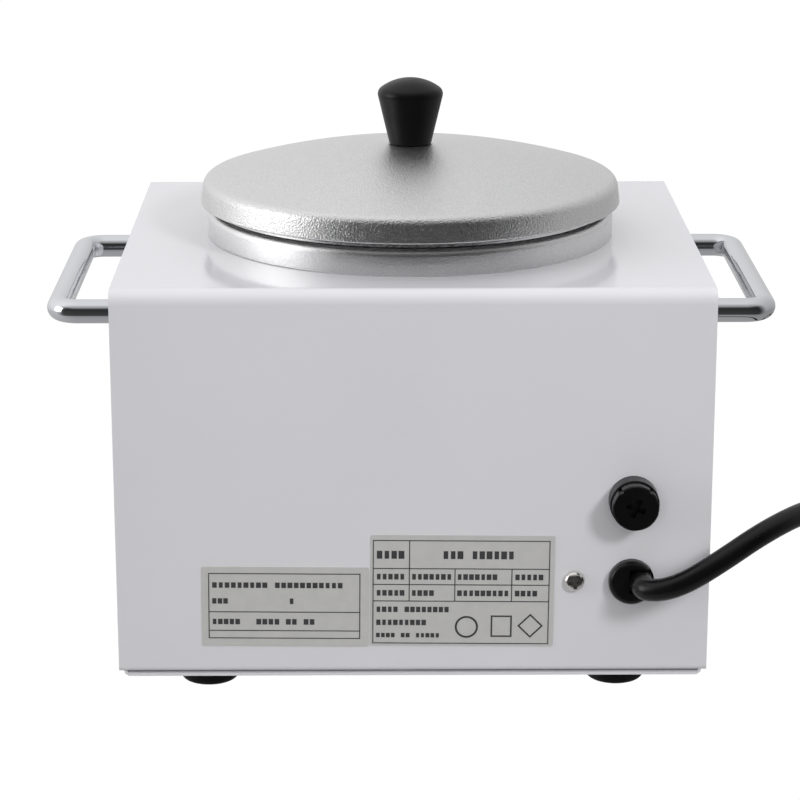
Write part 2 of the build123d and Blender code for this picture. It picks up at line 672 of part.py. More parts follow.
with BuildPart() as dial_plate:
    with BuildSketch(front(0, CONTROL_Z)):
        Circle(DIAL_R)
        Circle(4.6, mode=Mode.SUBTRACT)
    extrude(amount=DIAL_THICK)
save(dial_plate, "dial_plate")

bore_r = SHAFT_R + RUN
with BuildPart() as thermostat_body:
    with BuildSketch(front(0, CONTROL_Z, -SHEET - BODY_DEPTH)) as block:
        Rectangle(34, 34)
        fillet(block.vertices(), 3.0)
    extrude(amount=BODY_DEPTH)
    with BuildSketch(front(0, CONTROL_Z, -SHEET)):
        Circle(4.4)
    extrude(amount=SHEET + 4.2)
    with BuildSketch(front(0, CONTROL_Z, 4.2)):
        Circle(bore_r)
    extrude(amount=-12.0, mode=Mode.SUBTRACT)
save(thermostat_body, "thermostat_body")

with BuildPart() as thermostat_nut:
    with BuildSketch(front(0, CONTROL_Z, DIAL_THICK)):
        RegularPolygon(7.5, 6)
        Circle(4.45, mode=Mode.SUBTRACT)
    extrude(amount=2.4)
save(thermostat_nut, "thermostat_nut")

with BuildPart() as control_shaft:
    with BuildSketch(front(0, CONTROL_Z, -7.4)):
        Circle(SHAFT_R)
    extrude(amount=21.2)
save(control_shaft, "control_shaft")

with BuildPart() as control_knob:
    with BuildSketch(Plane(origin=(0, FRONT_Y, CONTROL_Z), x_dir=(1, 0, 0), z_dir=(0, 0, 1))) as section:
        with BuildLine():
            Polyline(
                (0, -14.0), (SHAFT_R + 0.05, -14.0), (SHAFT_R + 0.05, -5.4), (12.5, -5.4), (12.5, -0.8),
                (19.0, -0.8), (19.0, -4.0), (15.6, -6.5), (14.4, -KNOB_REACH), (0, -KNOB_REACH), close=True,
            )
        make_face()
        fillet(corner(section, 19.0, -4.0), 1.2)
        fillet(corner(section, 14.4, -KNOB_REACH), 1.4)
    revolve(axis=Axis((0, FRONT_Y, CONTROL_Z), (0, -1, 0)))
    with BuildSketch(front(0, CONTROL_Z, 7.0)):
        with PolarLocations(17.2, 16, start_angle=90 / 8):
            Circle(2.6)
    extrude(amount=KNOB_REACH, mode=Mode.SUBTRACT)
    with BuildSketch(front(0, CONTROL_Z, KNOB_REACH)):
        with Locations((0, 7.6)):
            SlotOverall(10.0, 1.6, rotation=90)
    extrude(amount=-0.6, mode=Mode.SUBTRACT)
save(control_knob, "control_knob")

with BuildPart() as knob_pointer:
    with BuildSketch(front(0, CONTROL_Z, KNOB_REACH - 0.6)):
        with Locations((0, 7.6)):
            SlotOverall(10.0, 1.6, rotation=90)
    extrude(amount=0.5)
save(knob_pointer, "knob_pointer")

window_w, window_h = 10.6, 16.2
with BuildPart() as switch_housing:
    with BuildSketch(front(SWITCH_X, CONTROL_Z)) as bezel:
        Rectangle(15.0, 21.0)
        fillet(bezel.vertices(), 1.5)
    extrude(amount=1.8)
    with BuildSketch(front(SWITCH_X, CONTROL_Z)):
        Rectangle(12.8, 18.8)
    extrude(amount=-14.6)
    with BuildSketch(front(SWITCH_X, CONTROL_Z, 1.8)):
        Rectangle(window_w, window_h)
    extrude(amount=-13.4, mode=Mode.SUBTRACT)
    with BuildSketch(Plane(origin=(SWITCH_X, FRONT_Y + PIVOT_IN, CONTROL_Z), z_dir=(1, 0, 0))):
        Circle(1.5)
    extrude(amount=7.0, both=True, mode=Mode.SUBTRACT)
save(switch_housing, "switch_housing")

# the rocker's side view: y runs out of the case, tilted to its switched-off rest
tilt = radians(ROCKER_TILT)
rocker_plane = Plane(
    origin=(SWITCH_X - 5.0, FRONT_Y + PIVOT_IN, CONTROL_Z),
    x_dir=(0, -sin(tilt), cos(tilt)),
    z_dir=(1, 0, 0),
)
with BuildPart() as switch_rocker:
    with BuildSketch(rocker_plane) as side_view:
        with BuildLine():
            Polyline(
                (-7.0, 6.0), (0, 5.0), (7.0, 6.0), (6.6, 0), (2.6, -3.6), (-2.6, -3.6), (-6.6, 0), close=True,
            )
        make_face()
    extrude(amount=10.0)
    with BuildSketch(Plane(origin=(SWITCH_X, FRONT_Y + PIVOT_IN, CONTROL_Z), z_dir=(1, 0, 0))):
        Circle(1.5 - RUN)
    extrude(amount=5.9, both=True)
save(switch_rocker, "switch_rocker")

with BuildPart() as lamp_body:
    with BuildSketch(front(LAMP_X, CONTROL_Z)):
        Circle(6.5)
    extrude(amount=1.5)
    fillet(lamp_body.edges().filter_by(GeomType.CIRCLE).sort_by(Axis.Y)[0], 0.6)
    with BuildSketch(front(LAMP_X, CONTROL_Z)):
        Circle(4.9)
    extrude(amount=-22.0)
    with BuildSketch(front(LAMP_X, CONTROL_Z, 1.5)):
        Circle(4.5)
    extrude(amount=-3.0, mode=Mode.SUBTRACT)
save(lamp_body, "lamp_body")

with BuildPart() as lamp_lens:
    with BuildSketch(front(LAMP_X, CONTROL_Z, -1.5)):
        Circle(4.45)
    extrude(amount=5.0)
    fillet(lamp_lens.edges().filter_by(GeomType.CIRCLE).sort_by(Axis.Y)[0], 1.9)
save(lamp_lens, "lamp_lens")

# ======== wiring inside the case ========

block_x, block_y = -31.0, 35.0
block_top = FLOOR_Z + 16.0
with BuildPart() as terminal_block:
    with BuildSketch(Plane(origin=(block_x, block_y, FLOOR_Z))) as block:
        Rectangle(32, 16)
        fillet(block.vertices(), 1.0)
    extrude(amount=16.0)
save(terminal_block, "terminal_block")

thermostat_back = FRONT_Y + SHEET + BODY_DEPTH
heater_foot = terminal_plane.from_local_coords((terminal_r, 0, HEATER_LOW))
bulb_angle = radians(CLAMP_ANGLE - 18)
bulb_r = WELL_R + WELL_WALL + 2.9
bulb = Vector(bulb_r * cos(bulb_angle), CENTRE_Y + bulb_r * sin(bulb_angle), 115.0)
wires = {
    "inner_lead": (6.6, [[
        (BUSH_X, REAR_Y - BUSH_NECK, BUSH_Z), (BUSH_X, 68, BUSH_Z), (-68, 52, 30), (-58, block_y, 15),
        (block_x - 16, block_y, 15),
    ]]),
    "earth_lead": (2.2, [[
        (-24, 39, block_top), (-24, 39, 31), (-31, 58, 24), (-46, 82, 14), (EARTH_X, barrel_y, 10),
        (EARTH_X, barrel_y, barrel_low),
    ]]),
    "control_leads": (2.2, [
        [
            (-40, 39, block_top), (-40, 39, 37), (-60, 42, 55), (FUSE_X, 44, FUSE_Z),
            (FUSE_X, REAR_Y - 36, FUSE_Z),
        ],
        [
            (-36, 31, block_top), (-36, 31, 36), (-50, 0, 46), (-44, -40, 48),
            (heater_foot.X, heater_foot.Y, 60), (heater_foot.X, heater_foot.Y, HEATER_LOW),
        ],
        [(-20, 31, block_top), (-20, 31, 34), (-6, 0, 40), (8, -40, 44), (8, thermostat_back, 44)],
        [
            (-43, 31, block_top), (-43, 31, 31), (-60, 0, 36), (SWITCH_X, -40, 50),
            (SWITCH_X, FRONT_Y + 14.6, 50),
        ],
        [
            (-29, 31, block_top), (-29, 31, 30), (16, 10, 28), (56, -24, 40), (LAMP_X, -48, CONTROL_Z),
            (LAMP_X, FRONT_Y + 22.0, CONTROL_Z),
        ],
    ]),
    "thermostat_bulb": (1.2, [[
        (bulb.X, bulb.Y, bulb.Z), (bulb.X, bulb.Y, 110.5), (-67.5, -31, 104), (-67.5, -31, 74),
        (-42, -45, 65), (-12, -52, 60), (-12, thermostat_back, 60),
    ]]),
}
for name, (thickness, routes) in wires.items():
    with BuildPart() as wire:
        for points in routes:
            with BuildLine() as route:
                FilletPolyline(*points, radius=bend_radii(points))
            with BuildSketch(Plane(origin=route.line @ 0, z_dir=route.line % 0)):
                Circle(thickness / 2)
            sweep(path=route.line)
        if name == "thermostat_bulb":
            with BuildSketch(Plane(origin=bulb)):
                Circle(2.4)
            extrude(amount=17.0)
    save(wire, name)

# ======== mains lead, outside the case ========

# straight out of the bushing's slot, tight round to the right as the slot guides it, then in an easy curve
# past the corner of the case and down to the table beside it
lead_route = [
    (EXIT_X, REAR_Y + EXIT_SEAT, EXIT_Z),
    (EXIT_X, REAR_Y + 7.8, EXIT_Z),
    (-80.4, REAR_Y + 14.2, EXIT_Z + 0.7),
    (-89.2, REAR_Y + 17.3, 45.4),
    (-100.6, REAR_Y + 17.0, 52.5),
    (-116.7, REAR_Y + 11.1, 61.7),
    (-132.2, REAR_Y - 0.6, 65.1),
    (-145.0, REAR_Y - 16.7, 61.0),
    (-151.7, REAR_Y - 40.9, 49.0),
    (-154.0, REAR_Y - 70.0, 35.5),
    (-158.5, REAR_Y - 100.0, 21.0),
    (-164.5, REAR_Y - 127.0, 9.8),
    (-171.3, REAR_Y - 148.0, LEAD / 2),
    (COIL_X + COIL_ENTRY_R, COIL_Y, LEAD / 2),
]
lead_radii = bend_radii(lead_route)
print("lead radii", [round(radius, 1) for radius in lead_radii])
with BuildPart() as power_lead:
    with BuildLine() as route:
        FilletPolyline(*lead_route, radius=lead_radii)
    with BuildSketch(Plane(origin=route.line @ 0, z_dir=route.line % 0)):
        Circle(LEAD / 2)
    sweep(path=route.line)
save(power_lead, "power_lead")
lead_length = route.wire().length
print("lead volume over section x length", power_lead.part.volume / (pi * LEAD**2 / 4 * lead_length))

coil_in, coil_out = COIL_MID_R - 1.5 * LEAD, COIL_MID_R + 1.5 * LEAD
with BuildPart() as lead_coil:
    with BuildSketch(Plane(origin=(COIL_X, COIL_Y, 0))):
        Circle(coil_out)
        Circle(coil_in, mode=Mode.SUBTRACT)
    extrude(amount=2 * LEAD)
    fillet(lead_coil.edges().filter_by(GeomType.CIRCLE), LEAD / 2 - 0.3)
save(lead_coil, "lead_coil")

tie_angle = radians(150)
with BuildPart() as lead_tie:
    across = Vector(cos(tie_angle), sin(tie_angle), 0)
    with BuildSketch(Plane(origin=(COIL_X, COIL_Y, 0), x_dir=across, z_dir=across.cross(Vector(0, 0, 1)))):
        with Locations((COIL_MID_R, LEAD + 0.7)):
            Rectangle(3 * LEAD + 2.4, 2 * LEAD + 1.4)
        with Locations((COIL_MID_R, LEAD)):
            Rectangle(3 * LEAD + 0.2, 2 * LEAD + 0.2, mode=Mode.SUBTRACT)
    extrude(amount=2.5, both=True)
save(lead_tie, "lead_tie")

leave = radians(-COIL_LEAVE)
tail_route = [
    (COIL_X + COIL_ENTRY_R * cos(leave), COIL_Y + COIL_ENTRY_R * sin(leave), 1.5 * LEAD),
    (COIL_X + 6.0, COIL_Y - 53.0, 11.2),
    (COIL_X - 10.0, COIL_Y - 60.0, 10.3),
    (COIL_X - 26.0, COIL_Y - 64.5, 10.3),
]
print("tail radii", [round(radius, 1) for radius in bend_radii(tail_route)])
with BuildPart() as lead_tail:
    with BuildLine() as route:
        FilletPolyline(*tail_route, radius=bend_radii(tail_route))
    with BuildSketch(Plane(origin=route.line @ 0, z_dir=route.line % 0)):
        Circle(LEAD / 2)
    sweep(path=route.line)
save(lead_tail, "lead_tail")
tail_length = route.wire().length

plug_back = Vector(*tail_route[-1])
plug_way = (plug_back - Vector(*tail_route[-2])).normalized()
plug_plane = Plane(origin=plug_back, x_dir=plug_way.cross(Vector(0, 0, 1)), z_dir=plug_way)
with BuildPart() as plug_body:
    with BuildSketch(plug_plane):
        Circle(5.4)
    with BuildSketch(plug_plane.offset(16.0)):
        Circle(8.0)
    loft()
    with BuildSketch(plug_plane.offset(16.0)) as face:
        RectangleRounded(25.0, 20.4, 6.0)
    extrude(amount=20.0)
    fillet(plug_body.faces().sort_by(Axis(plug_back, plug_way))[-1].edges(), 1.2)
save(plug_body, "plug_body")

with BuildPart() as plug_blades:
    with BuildSketch(plug_plane.offset(36.0)):
        with Locations((-6.35, -5.6), (6.35, -5.6)):
            Rectangle(1.5, 6.4)
    extrude(amount=17.0)
    with BuildSketch(plug_plane.offset(36.0)):
        with Locations((0, 6.3)):
            Circle(2.4)
    extrude(amount=19.0)
save(plug_blades, "plug_blades")

coil_length = 2 * pi * (COIL_MID_R * COIL_TURNS + COIL_ENTRY_R * COIL_LEAVE / 360)
print("lead length", lead_length + coil_length + tail_length)
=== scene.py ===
import json
import random
from math import cos, pi, radians, sin, sqrt, tan

import bmesh
import bpy
from mathutils import Matrix, Vector


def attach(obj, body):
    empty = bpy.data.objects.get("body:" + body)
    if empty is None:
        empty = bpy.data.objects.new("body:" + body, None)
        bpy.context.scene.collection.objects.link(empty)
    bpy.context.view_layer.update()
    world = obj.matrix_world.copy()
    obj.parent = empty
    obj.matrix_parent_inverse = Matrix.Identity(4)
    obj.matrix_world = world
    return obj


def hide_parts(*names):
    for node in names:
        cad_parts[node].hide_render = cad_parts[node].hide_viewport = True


# A single-pot wax warmer seen from behind. The rear panel faces +Y, towards the camera, so that negative X
# is on the right of the picture. Sizes and places are in millimetres, in the frame's axes, apart from the
# camera, the lights, the backdrop and the materials' scales, which are in metres.

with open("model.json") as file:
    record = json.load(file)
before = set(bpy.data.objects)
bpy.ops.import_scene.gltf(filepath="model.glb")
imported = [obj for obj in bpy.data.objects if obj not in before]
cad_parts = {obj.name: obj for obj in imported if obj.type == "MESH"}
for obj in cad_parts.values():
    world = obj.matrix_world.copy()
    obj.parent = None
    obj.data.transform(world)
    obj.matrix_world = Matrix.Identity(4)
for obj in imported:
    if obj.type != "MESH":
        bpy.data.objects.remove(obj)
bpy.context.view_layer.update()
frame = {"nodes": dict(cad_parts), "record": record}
nodes = frame["nodes"]

MM = 0.001

# ---- case ----
CENTRE_Y = 3.4  # the pot's axis stands at x = 0 and this y
REAR_Y = 94.9
FRONT_Y = -88.1
TOP_Z = 141.2

# ---- mains lead ----
LEAD = 7.6
COIL_X, COIL_Y = -222.8, -72.0
COIL_MID_R = 42.0
COIL_TURNS = 4
COIL_POINTS = 16  # for each turn

# ---- lid ----
LID_TOP = TOP_Z + 31.7
LID_SHOULDER = TOP_Z + 20.0
LID_EDGE = TOP_Z + 11.6
LID_R, LID_SHOULDER_R, LID_FLAT_R = 74.8, 73.6, 9.0
LID_WALL = 1.2
LID_HOLE_R = 2.2  # for the knob's screw
LID_BEND, LID_INNER_BEND, LID_HEM = 3.6, 2.4, 0.55  # radii of the shoulder, outside and in, and of the edge
DOME_SAG = 2.05
DOME_POINTS = 20
DOME_END = 3.2  # how far short of the shoulder the dome's own points stop
LATHE_STEPS = 256  # round the lid, and round the well

# ---- heating well ----
COLLAR_R, COLLAR_TOP, COLLAR_BEND = 72.3, TOP_Z + 9.6, 3.0
WELL_R, WELL_FLOOR, WELL_BEND = 66.8, TOP_Z - 62.0, 6.0
WELL_WALL = 1.5
WELL_RIM, COLLAR_FOOT = 1.2, 0.4  # radii of the well's upper edge, and of the collar's lower edge
AXIS_R = 0.3  # a pinhole on the axis, so that no face of the floor shrinks to a point

# ---- handles ----
PANEL_X, GRIP_X, HANDLE_Z = 98.3, 121.7, 124.2
HANDLE_HALF = 50.5  # half the span from leg to leg
HANDLE_BEND, HANDLE_ROD_R = 7.0, 4.15

# ---- prints ----
PRINT_LIFT = 0.05
STICKER = 0.2  # the stickers' thickness
STICKER_TURN = 0.5  # degrees; they are stuck on a little crooked
HAIR = 0.34  # the stickers' thin lines
LETTER_WIDTHS = (0.62, 0.74, 0.8)  # each a part of the letters' pitch
LETTER_HEIGHT = 0.78  # a part of the line's height

RATING_AT = (-16.6, REAR_Y + STICKER, 37.0)
RATING_X, RATING_WIDTH, RATING_HEIGHT = -0.4, 59.4, 36.7  # the ruled box, from the sticker's middle
RATING_LEFT = -29.2  # where its lines of words start
RATING_RULES = (7.9, 2.2, -3.7)  # heights of its ruled lines
RATING_COLUMNS = (RATING_LEFT, -17.3, -1.9, 17.6)  # where the words of a ruled row start

INSPECTION_AT = (43.2, REAR_Y + STICKER, 31.5)
INSPECTION_X, INSPECTION_WIDTH, INSPECTION_HEIGHT = -0.3, 51.0, 23.1
INSPECTION_LEFT = -24.9
INSPECTION_RULES = (-1.9, -8.6)

DIAL_AT = (0, FRONT_Y - 0.5, 52.0)
DIAL_RING_R, DIAL_NUMBER_R = 29.6, 26.0
DIAL_STEP = 30  # degrees from one number to the next
DIAL_NUMBERS = 10
DIAL_TICKS = 19  # one at each number and one between, long and short by turns
LONG_TICK, LONG_TICK_R = 2.6, 21.7
SHORT_TICK, SHORT_TICK_R = 1.4, 21.2
TICK_WIDTH = 0.5
DIGIT_SIZE = 4.6

ROCKER_AT = Vector((-66.0, FRONT_Y + 2.3, 52.0))
ROCKER_TIP = 7  # degrees that the rocker leans at rest
ROCKER_MIDDLE = 5  # from the rocker's pivot out to the middle of its face, where it is lowest
ROCKER_RUN = 7  # from there its two slopes rise 1 in 7
MARK_UP = 3.9  # from the middle of its face to each mark

# ---- camera and backdrop, in metres ----
CAMERA_AT = Vector((0.0115, 0.9729, 0.3566))
CAMERA_AIM = Vector((0.0044, 0.0949, 0.1041))
CAMERA_LENS, CAMERA_SENSOR = 124.2, 36  # these two are in millimetres
BACKDROP_R, BACKDROP_TOP = 7.0, 4.0
BACKDROP_GLOW = 1.02


def collection_add(obj):
    """Link an object to the scene, and hand it back."""
    bpy.context.scene.collection.objects.link(obj)
    return obj


def mesh_object(name, bm):
    """A mesh object from a bmesh, which it frees."""
    mesh = bpy.data.meshes.new(name)
    bm.to_mesh(mesh)
    bm.free()
    return collection_add(bpy.data.objects.new(name, mesh))


# ======== materials ========

NOISE_LOW, NOISE_HIGH = 0.3, 0.7  # nearly all of a noise's values lie between these
finishes = {}


class Shader:
    """A Principled material, kept in finishes, and short ways to add the nodes that vary it."""

    def __init__(self, name, color, roughness, **sockets):
        self.material = bpy.data.materials.new(name)
        finishes[name] = self.material
        self.material.use_nodes = True
        self.nodes = self.material.node_tree.nodes
        self.links = self.material.node_tree.links
        self.surface = self.nodes["Principled BSDF"]
        self.surface.inputs["Base Color"].default_value = (*color, 1)
        self.surface.inputs["Roughness"].default_value = roughness
        for socket, value in sockets.items():
            self.surface.inputs[socket.replace("_", " ")].default_value = value
        self.place = self.nodes.new("ShaderNodeTexCoord").outputs["Object"]

    def noise(self, scale, detail=2.0, stretch=(1, 1, 1)):
        """Noise with so many features to the metre."""
        mapping = self.nodes.new("ShaderNodeMapping")
        mapping.inputs["Scale"].default_value = stretch
        self.links.new(self.place, mapping.inputs["Vector"])
        noise = self.nodes.new("ShaderNodeTexNoise")
        noise.inputs["Scale"].default_value = scale
        noise.inputs["Detail"].default_value = detail
        self.links.new(mapping.outputs["Vector"], noise.inputs["Vector"])
        return noise.outputs["Fac"]

    def ramp(self, source, low, high):
        """A colour that runs from low to high with the noise."""
        ramp = self.nodes.new("ShaderNodeValToRGB")
        ramp.color_ramp.elements[0].position = NOISE_LOW
        ramp.color_ramp.elements[1].position = NOISE_HIGH
        ramp.color_ramp.elements[0].color = (*low, 1)
        ramp.color_ramp.elements[1].color = (*high, 1)
        self.links.new(source, ramp.inputs["Fac"])
        return ramp.outputs["Color"]

    def spread(self, source, low, high):
        """A number that runs from low to high with the noise."""
        spread = self.nodes.new("ShaderNodeMapRange")
        spread.inputs["From Min"].default_value = NOISE_LOW
        spread.inputs["From Max"].default_value = NOISE_HIGH
        spread.inputs["To Min"].default_value = low
        spread.inputs["To Max"].default_value = high
        self.links.new(source, spread.inputs["Value"])
        return spread.outputs["Result"]

    def bump(self, *layers):
        """Height layers, each (source, depth in metres)."""
        below = None
        for source, depth in layers:
            bump = self.nodes.new("ShaderNodeBump")
            bump.inputs["Distance"].default_value = depth
            self.links.new(source, bump.inputs["Height"])
            if below:
                self.links.new(below, bump.inputs["Normal"])
            below = bump.outputs["Normal"]
        self.links.new(below, self.surface.inputs["Normal"])

    def vary(self, socket, source):
        """Let a source drive one of the surface's sockets."""
        self.links.new(source, self.surface.inputs[socket])


def powder_coat():
    """Glossy white paint, with a faint orange-peel waviness."""
    coat = Shader("powder_coat", (0.79, 0.785, 0.815), 0.09)
    coat.vary("Base Color", coat.ramp(coat.noise(14), (0.78, 0.775, 0.805), (0.80, 0.795, 0.825)))
    coat.vary("Roughness", coat.spread(coat.noise(60), 0.07, 0.12))
    coat.bump((coat.noise(420, 1), 0.000012))


def blasted(name, color, roughness, grain, depth):
    """Fine bead-blasted aluminium: every grain leans its own way and a few catch the light."""
    metal = Shader(name, color, roughness, Metallic=1.0)
    fine = metal.noise(grain, 1.5)
    dark = tuple(c * 0.84 for c in color)
    metal.vary("Base Color", metal.ramp(fine, dark, color))
    metal.vary("Roughness", metal.spread(metal.noise(grain * 0.6), roughness - 0.05, roughness + 0.05))
    metal.bump((fine, depth))


def plated(name, color, roughness, waver):
    """Smooth plated metal, a little uneven in its polish."""
    metal = Shader(name, color, roughness, Metallic=1.0)
    metal.vary("Roughness", metal.spread(metal.noise(90), roughness - waver, roughness + waver))
    metal.bump((metal.noise(35, 1), 0.00001))


def moulded(name, color, roughness, grain=1800, depth=0.00001, **sockets):
    """Moulded plastic or rubber with a fine skin."""
    plastic = Shader(name, color, roughness, **sockets)
    light = tuple(min(1, c * 1.12 + 0.001) for c in color)
    plastic.vary("Base Color", plastic.ramp(plastic.noise(40), color, light))
    plastic.vary("Roughness", plastic.spread(plastic.noise(150), roughness - 0.05, roughness + 0.05))
    plastic.bump((plastic.noise(grain, 2), depth))


def brushed(name, color, roughness, stretch):
    """Metal with fine streaks, which run across the axis of the largest stretch."""
    metal = Shader(name, color, roughness, Metallic=1.0)
    streaks = metal.noise(500, 3, stretch)
    metal.vary("Base Color", metal.ramp(streaks, tuple(c * 0.85 for c in color), color))
    metal.vary("Roughness", metal.spread(streaks, roughness - 0.08, roughness + 0.08))
    metal.bump((streaks, 0.000008))


def felt(name, color):
    """Matted fibres, for the insulation."""
    wool = Shader(name, color, 0.95, Sheen_Weight=0.3)
    tufts = wool.noise(600, 6, (1, 1, 0.4))
    wool.vary("Base Color", wool.ramp(tufts, tuple(c * 0.75 for c in color), color))
    wool.bump((tufts, 0.0008))


def foil(name, color):
    """A matt silver sticker: a slight mottle, and a faint crinkle."""
    sticker = Shader(name, color, 0.45, Metallic=0.15)
    sticker.vary("Base Color", sticker.ramp(sticker.noise(260, 4), tuple(c * 0.94 for c in color), color))
    sticker.bump((sticker.noise(1500, 2), 0.00001), (sticker.noise(70, 1), 0.00002))


powder_coat()
plated("chrome", (0.66, 0.67, 0.69), 0.035, 0.01)
brushed("zinc_steel", (0.62, 0.62, 0.61), 0.32, (1, 1, 6))
blasted("aluminium_lid", (0.775, 0.775, 0.77), 0.35, 1750, 0.00022)
blasted("aluminium_well", (0.83, 0.83, 0.83), 0.34, 2300, 0.00012)
brushed("pot_aluminium", (0.80, 0.80, 0.80), 0.28, (1, 1, 12))
moulded("knob_black", (0.003, 0.003, 0.003), 0.38, 900, 0.000004, Specular_IOR_Level=0.22)
moulded("rubber_feet", (0.003, 0.003, 0.003), 0.6, Specular_IOR_Level=0.2)
moulded("black_plastic", (0.003, 0.003, 0.003), 0.28, 700, 0.000004, Specular_IOR_Level=0.3)
moulded("rocker_red", (0.45, 0.012, 0.012), 0.25, Transmission_Weight=0.15)
moulded("cord_black", (0.003, 0.003, 0.003), 0.28, 500, 0.00002, Specular_IOR_Level=0.28)
moulded("plug_black", (0.014, 0.014, 0.014), 0.42, 900, 0.00002)
moulded("tie_black", (0.02, 0.02, 0.02), 0.5)
brushed("brass_plate", (0.78, 0.62, 0.33), 0.22, (1, 4, 1))
moulded("earth_green", (0.05, 0.32, 0.07), 0.35)
plated("earth_screw", (0.78, 0.765, 0.73), 0.14, 0.03)
foil("label_silver", (0.67, 0.665, 0.65))
moulded("ink_black", (0.055, 0.055, 0.058), 0.5, Specular_IOR_Level=0.2)
brushed("dial_plate", (0.78, 0.78, 0.78), 0.3, (8, 1, 1))
moulded("pointer_white", (0.8, 0.8, 0.8), 0.35)
moulded("lamp_black", (0.012, 0.012, 0.012), 0.3)
moulded("lamp_red", (0.6, 0.02, 0.01), 0.12, Transmission_Weight=0.4)
brushed("mica_band", (0.42, 0.39, 0.34), 0.4, (1, 1, 8))
moulded("ceramic_white", (0.74, 0.70, 0.62), 0.4)
felt("insulation", (0.72, 0.68, 0.55))
plated("shaft_steel", (0.6, 0.6, 0.6), 0.2, 0.05)
moulded("fuse_glass", (0.95, 0.97, 0.97), 0.06, Transmission_Weight=0.95, IOR=1.5)
plated("fuse_metal", (0.75, 0.75, 0.72), 0.18, 0.04)

for sub in frame["record"]["subparts"]:
    for material_slot in nodes[sub["node"]].material_slots:
        material_slot.material = finishes[sub["material_slot"]]

# ======== mains lead ========

# out of the bushing's slot, tight round to the right, then in an easy curve past the corner of the case,
# down to the table, and into the coil
lead_route = [
    (-76.9, REAR_Y + 0.8, 41.3),
    (-75.2, REAR_Y + 11.0, 41.5),
    (-81.6, REAR_Y + 15.6, 42.4),
    (-89.6, REAR_Y + 17.4, 45.6),
    (-100.6, REAR_Y + 17.0, 52.5),
    (-116.7, REAR_Y + 11.1, 61.7),
    (-132.2, REAR_Y - 0.6, 65.1),
    (-145.0, REAR_Y - 16.7, 61.0),
    (-151.7, REAR_Y - 40.9, 49.0),
    (-154.0, REAR_Y - 70.0, 35.5),
    (-158.5, REAR_Y - 100.0, 21.0),
    (-164.5, REAR_Y - 127.0, 9.8),
    (-171.3, REAR_Y - 148.0, LEAD / 2),
]
# two turns spiral in on the table, then two spiral out on top of them
coil_step = 360 / COIL_POINTS
coil_whole = COIL_TURNS * COIL_POINTS
outward = 1 / cos(radians(coil_step / 2))  # the curve cuts this far inside its control points
for count in range(coil_whole + 3):
    turned = radians(-count * coil_step)
    turns_left = abs(coil_whole / 2 - min(count, coil_whole)) / COIL_POINTS
    radius = (COIL_MID_R - LEAD + turns_left * LEAD) * outward
    layer = min(1, max(0, (count - coil_whole / 2 + 1) / 2))
    height = LEAD / 2 + layer * LEAD
    lead_route.append((COIL_X + radius * cos(turned), COIL_Y + radius * sin(turned), height))
lead_route += [
    (COIL_X + 6.0, COIL_Y - 53.0, 11.2),
    (COIL_X - 10.0, COIL_Y - 60.0, 10.3),
    (COIL_X - 26.0, COIL_Y - 64.5, 10.3),
]

curve = bpy.data.curves.new("mains_lead", "CURVE")
curve.dimensions = "3D"
spline = curve.splines.new("NURBS")
spline.points.add(len(lead_route) - 1)
for point, place in zip(spline.points, lead_route):
    point.co = (*(v * MM for v in place), 1)
spline.order_u = 3
spline.use_endpoint_u = True
spline.use_smooth = True
curve.resolution_u = 10
curve.bevel_depth = LEAD / 2 * MM
curve.bevel_resolution = 7
curve.use_fill_caps = True
curve.materials.append(finishes["cord_black"])
mains_lead = collection_add(bpy.data.objects.new("mains_lead", curve))
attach(mains_lead, "case")
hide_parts("power_lead", "lead_coil", "lead_tail")

# ======== lid, heating well and handles, with finer curves ========


def rounded(corners, steps=10):
    """The points of a line through corners (x, y, radius), with each corner cut to an arc of its radius."""
    path = []
    for index, (x, y, radius) in enumerate(corners):
        here = Vector((x, y))
        if radius == 0:
            path.append(here)
            continue
        back = (Vector(corners[index - 1][:2]) - here).normalized()
        on = (Vector(corners[(index + 1) % len(corners)][:2]) - here).normalized()
        half = back.angle(on) / 2
        centre = here + (back + on).normalized() * (radius / sin(half))
        start = here + back * (radius / tan(half)) - centre
        end = here + on * (radius / tan(half)) - centre
        turn = start.angle_signed(end)
        path += [centre + Matrix.Rotation(-turn * count / steps, 2) @ start for count in range(steps + 1)]
    return path


def lathe(name, section):
    """A closed section of (radius, height) points turned round the pot's axis."""
    bm = bmesh.new()
    rings = []
    for count in range(LATHE_STEPS):
        angle = 2 * pi * count / LATHE_STEPS
        rings.append([
            bm.verts.new((radius * cos(angle) * MM, (CENTRE_Y + radius * sin(angle)) * MM, height * MM))
            for radius, height in section
        ])
    for count in range(LATHE_STEPS):
        ring_a, ring_b = rings[count], rings[(count + 1) % LATHE_STEPS]
        for index in range(len(section)):
            after = (index + 1) % len(section)
            bm.faces.new((ring_a[index], ring_b[index], ring_b[after], ring_a[after])).smooth = True
    bmesh.ops.recalc_face_normals(bm, faces=bm.faces)
    return mesh_object(name, bm)


chord = Vector((LID_SHOULDER_R - LID_FLAT_R, LID_SHOULDER - LID_TOP))
dome_r = chord.length**2 / (8 * DOME_SAG) + DOME_SAG / 2
dome_up = Vector((-chord.y, chord.x)).normalized()
dome_centre = Vector((LID_FLAT_R, LID_TOP)) + chord / 2 - dome_up * (dome_r - DOME_SAG)


def dome(radius, depth=0.0):
    """A point of the lid's domed face, or of the face that lies that deep inside it."""
    return radius, dome_centre.y + sqrt((dome_r - depth) ** 2 - (radius - dome_centre.x) ** 2)


